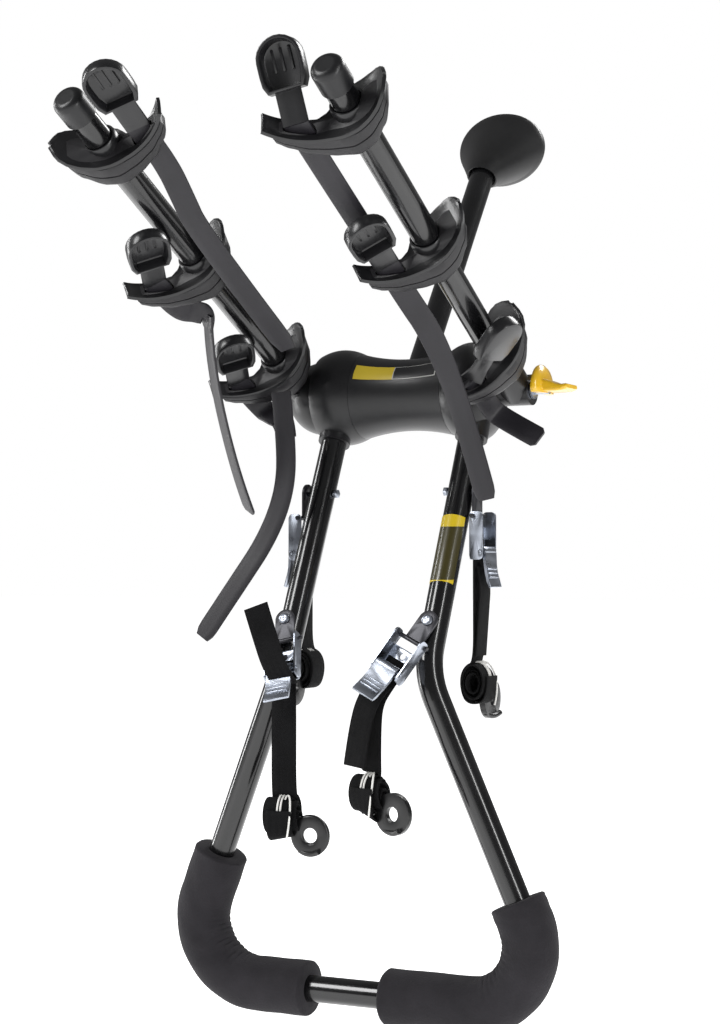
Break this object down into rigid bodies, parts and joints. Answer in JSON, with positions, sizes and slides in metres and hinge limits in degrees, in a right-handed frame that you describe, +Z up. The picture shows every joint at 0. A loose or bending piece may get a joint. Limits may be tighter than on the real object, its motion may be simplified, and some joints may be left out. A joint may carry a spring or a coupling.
{
  "type": "strap-on boot lid bike rack",
  "caption": "Strap-on boot rack for bikes: hub with a padded foot stay, U-shaped leg frame with foam pads, two arms with strapped cradles and webbing tie-downs.",
  "frame": {"origin": "middle of the rubber foot's bearing face, which rests on the boot lid", "axes": "+Y out of the foot's face, towards the car; +Z up; the hub's axis runs along X"},
  "size_m": [0.3991, 0.685, 0.9345],
  "materials": {
    "hub_plastic": "satin",
    "black_tube": "gloss",
    "foam": "matte",
    "rubber": "matte",
    "cradle_plastic": "satin",
    "zinc": "satin",
    "steel": "satin",
    "lever_yellow": "gloss",
    "webbing": "matte",
    "hook": "satin"
  },
  "bodies": {
    "hub": {"hub_shell": "hub_plastic", "foot_stay": "black_tube", "foot_pad": "rubber", "hub_axle": "steel"},
    "legs": {"leg_shell_left": "hub_plastic", "leg_shell_right": "hub_plastic", "leg_frame": "black_tube", "foam_pad_left": "foam", "foam_pad_right": "foam", "leg_screws": "steel"},
    "arm_left": {"arm_socket_left": "hub_plastic", "arm_tube_left": "black_tube", "arm_cap_left": "hub_plastic"},
    "arm_right": {"arm_socket_right": "hub_plastic", "arm_tube_right": "black_tube", "arm_cap_right": "hub_plastic"},
    "release_lever": {"release_lever": "lever_yellow"},
    "cradle_right_1": {"cradle_saddle_right_1": "cradle_plastic", "cradle_rubber_right_1": "rubber", "cradle_strap_right_1": "rubber"},
    "cradle_right_2": {"cradle_saddle_right_2": "cradle_plastic", "cradle_rubber_right_2": "rubber", "cradle_strap_right_2": "rubber"},
    "cradle_right_3": {"cradle_saddle_right_3": "cradle_plastic", "cradle_rubber_right_3": "rubber", "cradle_strap_right_3": "rubber"},
    "cradle_left_1": {"cradle_saddle_left_1": "cradle_plastic", "cradle_rubber_left_1": "rubber", "cradle_strap_left_1": "rubber"},
    "cradle_left_2": {"cradle_saddle_left_2": "cradle_plastic", "cradle_rubber_left_2": "rubber", "cradle_strap_left_2": "rubber"},
    "cradle_left_3": {"cradle_saddle_left_3": "cradle_plastic", "cradle_rubber_left_3": "rubber", "cradle_strap_left_3": "rubber"},
    "anchor_right_upper": {"anchor_bracket_right_upper": "zinc", "cam_buckle_right_upper": "zinc", "webbing_right_upper": "webbing", "hook_bundle_right_upper": "hook"},
    "cam_lever_right_upper": {"cam_lever_right_upper": "zinc"},
    "anchor_left_upper": {"anchor_bracket_left_upper": "zinc", "cam_buckle_left_upper": "zinc", "webbing_left_upper": "webbing", "hook_bundle_left_upper": "hook"},
    "cam_lever_left_upper": {"cam_lever_left_upper": "zinc"},
    "anchor_right_lower": {"anchor_bracket_right_lower": "zinc", "cam_buckle_right_lower": "zinc", "webbing_right_lower": "webbing", "hook_bundle_right_lower": "hook"},
    "cam_lever_right_lower": {"cam_lever_right_lower": "zinc"},
    "anchor_left_lower": {"anchor_bracket_left_lower": "zinc", "cam_buckle_left_lower": "zinc", "webbing_left_lower": "webbing", "hook_bundle_left_lower": "hook"},
    "cam_lever_left_lower": {"cam_lever_left_lower": "zinc"}
  },
  "joints": [
    {"name": "leg_fold", "type": "hinge", "parent": "hub", "child": "legs", "pos_m": [0, -0.24, -0.291], "axis": [1, 0, 0], "range_deg": [-4, 25]},
    {"name": "arm_left_fold", "type": "hinge", "parent": "hub", "child": "arm_left", "pos_m": [-0.115, -0.24, -0.291], "axis": [1, 0, 0], "range_deg": [-40, 3]},
    {"name": "arm_right_fold", "type": "hinge", "parent": "hub", "child": "arm_right", "pos_m": [0.115, -0.24, -0.291], "axis": [1, 0, 0], "range_deg": [-40, 3]},
    {"name": "release_lever_tip", "type": "hinge", "parent": "hub", "child": "release_lever", "pos_m": [0.143, -0.24, -0.291], "axis": [0, 1, 0], "range_deg": [0, 40]},
    {"name": "cradle_right_1_turn", "type": "hinge", "parent": "arm_right", "child": "cradle_right_1", "pos_m": [0.12439, -0.63525, -0.07818], "axis": [0.0209, -0.8803, 0.474], "range_deg": [-12, 0]},
    {"name": "cradle_right_2_turn", "type": "hinge", "parent": "arm_right", "child": "cradle_right_2", "pos_m": [0.12061, -0.47592, -0.16397], "axis": [0.0209, -0.8803, 0.474], "range_deg": [0, 12]},
    {"name": "cradle_right_3_turn", "type": "hinge", "parent": "arm_right", "child": "cradle_right_3", "pos_m": [0.11705, -0.32627, -0.24455], "axis": [0.0209, -0.8803, 0.474], "range_deg": [-5, 5]},
    {"name": "cradle_left_1_turn", "type": "hinge", "parent": "arm_left", "child": "cradle_left_1", "pos_m": [-0.12418, -0.62645, -0.08292], "axis": [-0.0209, -0.8803, 0.474], "range_deg": [-6, 6]},
    {"name": "cradle_left_2_turn", "type": "hinge", "parent": "arm_left", "child": "cradle_left_2", "pos_m": [-0.12061, -0.47592, -0.16397], "axis": [-0.0209, -0.8803, 0.474], "range_deg": [-6, 6]},
    {"name": "cradle_left_3_turn", "type": "hinge", "parent": "arm_left", "child": "cradle_left_3", "pos_m": [-0.11705, -0.32627, -0.24455], "axis": [-0.0209, -0.8803, 0.474], "range_deg": [-5, 5]},
    {"name": "anchor_right_upper_swing", "type": "hinge", "parent": "legs", "child": "anchor_right_upper", "pos_m": [0.09138, -0.28654, -0.39067], "axis": [1, 0, 0], "range_deg": [-12, 12]},
    {"name": "cam_lever_right_upper_lift", "type": "hinge", "parent": "anchor_right_upper", "child": "cam_lever_right_upper", "pos_m": [0.10238, -0.28654, -0.44867], "axis": [0, -1, 0], "range_deg": [0, 45], "stiffness_Nm_per_rad": 0.3},
    {"name": "anchor_left_upper_swing", "type": "hinge", "parent": "legs", "child": "anchor_left_upper", "pos_m": [-0.09138, -0.28654, -0.39067], "axis": [-1, 0, 0], "range_deg": [-12, 5]},
    {"name": "cam_lever_left_upper_lift", "type": "hinge", "parent": "anchor_left_upper", "child": "cam_lever_left_upper", "pos_m": [-0.10238, -0.28654, -0.44867], "axis": [0, 1, 0], "range_deg": [0, 45], "stiffness_Nm_per_rad": 0.3},
    {"name": "anchor_right_lower_swing", "type": "hinge", "parent": "legs", "child": "anchor_right_lower", "pos_m": [0.07592, -0.36168, -0.51451], "axis": [0, -0.9061, 0.4231], "range_deg": [-12, 12]},
    {"name": "cam_lever_right_lower_lift", "type": "hinge", "parent": "anchor_right_lower", "child": "cam_lever_right_lower", "pos_m": [0.04959, -0.39352, -0.55668], "axis": [-0.891, 0.1921, 0.4114], "range_deg": [0, 45], "stiffness_Nm_per_rad": 0.3},
    {"name": "anchor_left_lower_swing", "type": "hinge", "parent": "legs", "child": "anchor_left_lower", "pos_m": [-0.07592, -0.36168, -0.51451], "axis": [0, -0.9061, 0.4231], "range_deg": [-12, 8]},
    {"name": "cam_lever_left_lower_lift", "type": "hinge", "parent": "anchor_left_lower", "child": "cam_lever_left_lower", "pos_m": [-0.06288, -0.39556, -0.56106], "axis": [-0.9744, -0.0952, -0.2038], "range_deg": [0, 45], "stiffness_Nm_per_rad": 0.3}
  ]
}
